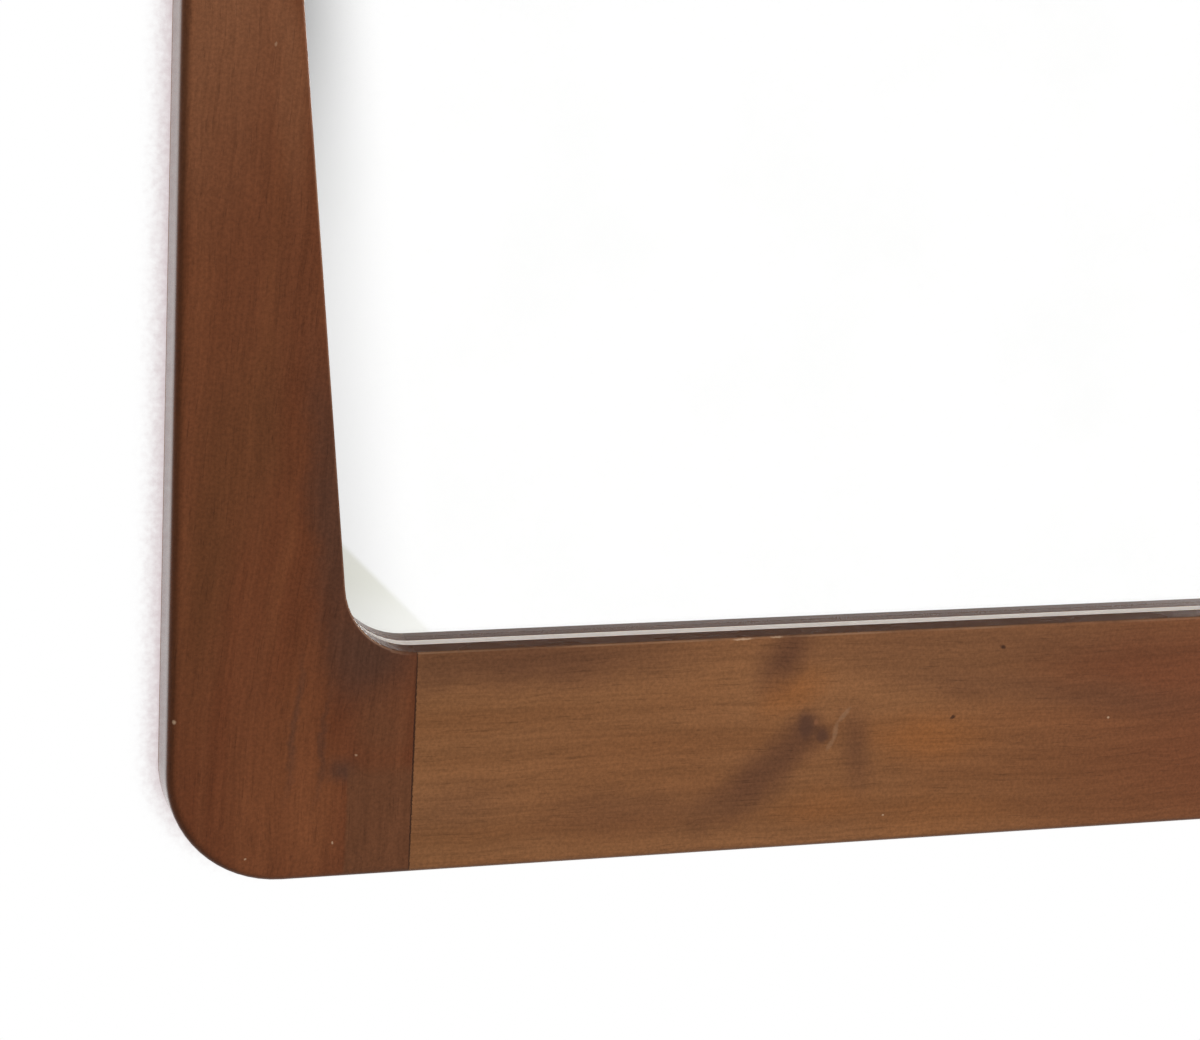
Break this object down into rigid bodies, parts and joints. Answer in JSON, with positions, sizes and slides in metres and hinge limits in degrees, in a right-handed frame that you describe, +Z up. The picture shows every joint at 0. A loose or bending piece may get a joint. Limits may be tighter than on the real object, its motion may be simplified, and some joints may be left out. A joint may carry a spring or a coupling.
{
  "type": "wall mirror",
  "caption": "Wall mirror in a dark brown wooden frame with tapering uprights, rounded corners, a back-silvered glass in a rebate and swinging hanger rings.",
  "frame": {"origin": "on the wall's surface, midway between the two ring pivots that the mirror hangs by", "axes": "+X to the right of a viewer who faces the mirror, +Y into the wall, +Z up"},
  "size_m": [0.8, 0.023, 0.48],
  "materials": {
    "stile_wood": "dark reddish brown stain under satin lacquer, grain upright",
    "rail_wood": "golden brown stain under satin lacquer, grain level, with a knot",
    "dowel_wood": "raw beech",
    "white_tape": "white felt tape",
    "clear_glass": "clear float glass",
    "silver": "silver under grey backing paint",
    "hardboard": "raw hardboard",
    "cork": "raw cork",
    "steel_wire": "bright steel",
    "plated_steel": "nickel-plated steel",
    "bumper_rubber": "matt dark rubber"
  },
  "bodies": {
    "mirror": {"left_stile": "stile_wood", "right_stile": "stile_wood", "bottom_rail": "rail_wood", "top_rail": "rail_wood", "lower_left_dowels": "dowel_wood", "lower_right_dowels": "dowel_wood", "upper_left_dowels": "dowel_wood", "upper_right_dowels": "dowel_wood", "glazing_tape": "white_tape", "mirror_glass": "clear_glass", "silver_coating": "silver", "backing_board": "hardboard", "setting_blocks": "cork", "left_edge_spacers": "cork", "right_edge_spacers": "cork", "sprigs": "steel_wire", "left_hanger_strap": "plated_steel", "left_hanger_screws": "plated_steel", "right_hanger_strap": "plated_steel", "right_hanger_screws": "plated_steel", "left_bumper": "bumper_rubber", "right_bumper": "bumper_rubber"},
    "left_ring": {"left_hanger_ring": "plated_steel"},
    "right_ring": {"right_hanger_ring": "plated_steel"}
  },
  "joints": [
    {"name": "left_ring_swing", "type": "hinge", "parent": "mirror", "child": "left_ring", "pos_m": [-0.3885, -0.0029, 0], "axis": [1, 0, 0], "range_deg": [0, 180]},
    {"name": "right_ring_swing", "type": "hinge", "parent": "mirror", "child": "right_ring", "pos_m": [0.3885, -0.0029, 0], "axis": [1, 0, 0], "range_deg": [0, 180]}
  ]
}
